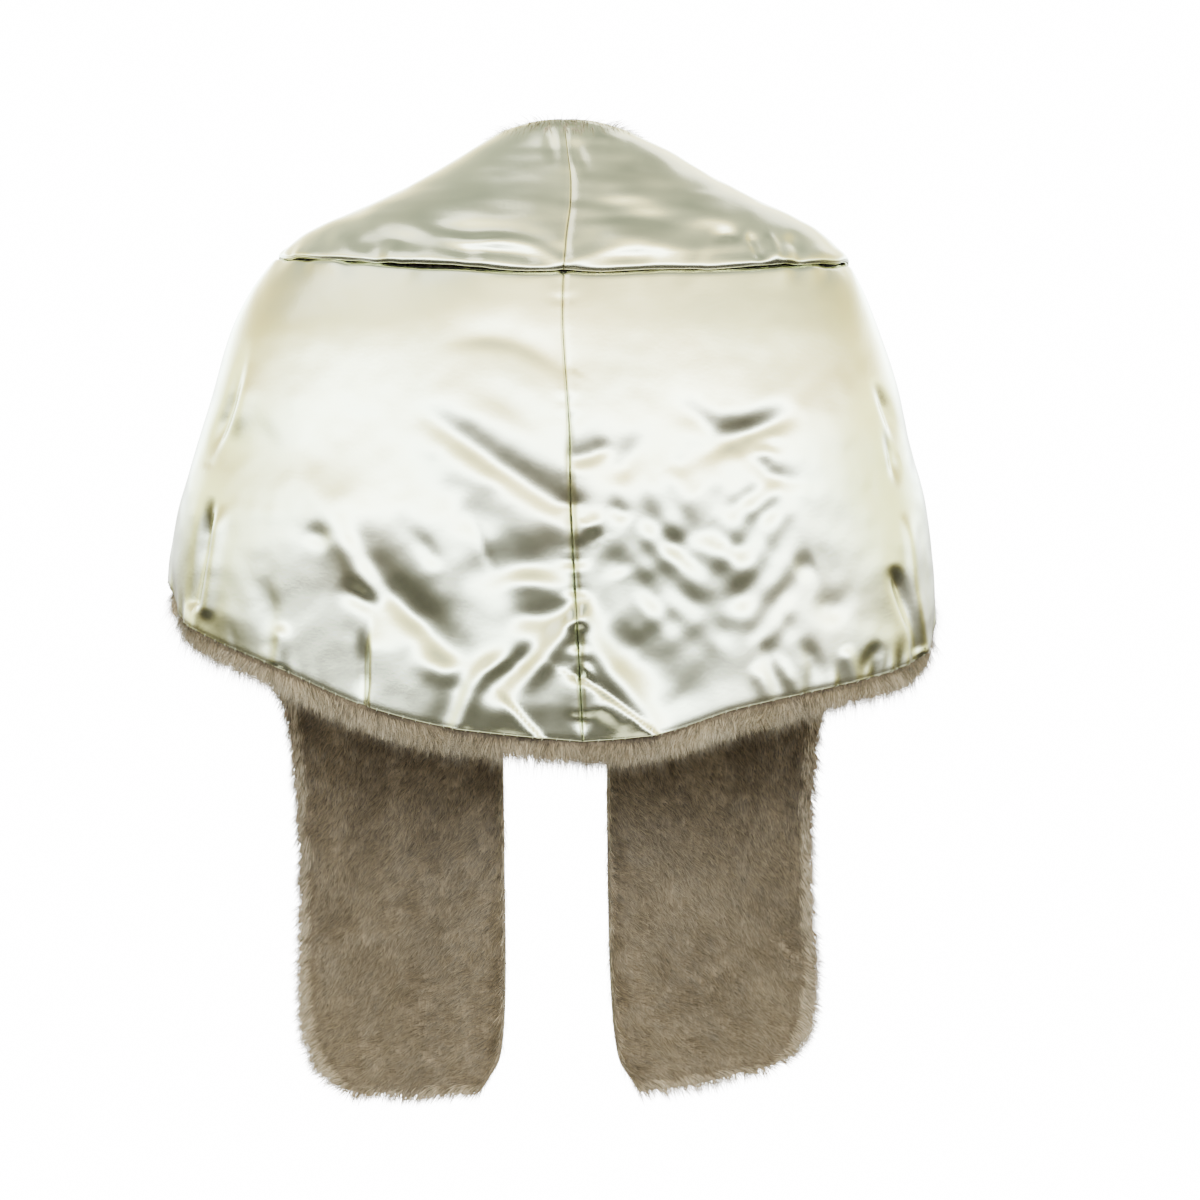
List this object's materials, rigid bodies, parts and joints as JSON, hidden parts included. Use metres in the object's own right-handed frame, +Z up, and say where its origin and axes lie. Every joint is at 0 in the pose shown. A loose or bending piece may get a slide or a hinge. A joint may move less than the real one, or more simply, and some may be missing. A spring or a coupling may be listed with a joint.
{
  "type": "fur evening stole worn lining side out",
  "caption": "Hollow evening stole worn over both shoulders, satin lining outward and fur pile inward, with a collar, a rounded back hem and two long front ends.",
  "frame": {"origin": "centre back of the neck edge, level with the top of the collar, where the wearer's nape and shoulders hold the stole", "axes": "+Z up, the wearer faces -Y, the wearer's left is +X"},
  "size_m": [0.6745, 0.2997, 0.8716],
  "materials": {
    "satin": "glossy pale sage satin, worn side out",
    "fur": "dense brown-beige fur pile with pale guard hair tips"
  },
  "bodies": {
    "root": {"lining_body_left": "satin", "lining_body_right": "satin", "lining_collar_left": "satin", "lining_collar_right": "satin", "fur_body_left": "fur", "fur_body_right": "fur", "fur_collar": "fur"}
  },
  "joints": []
}
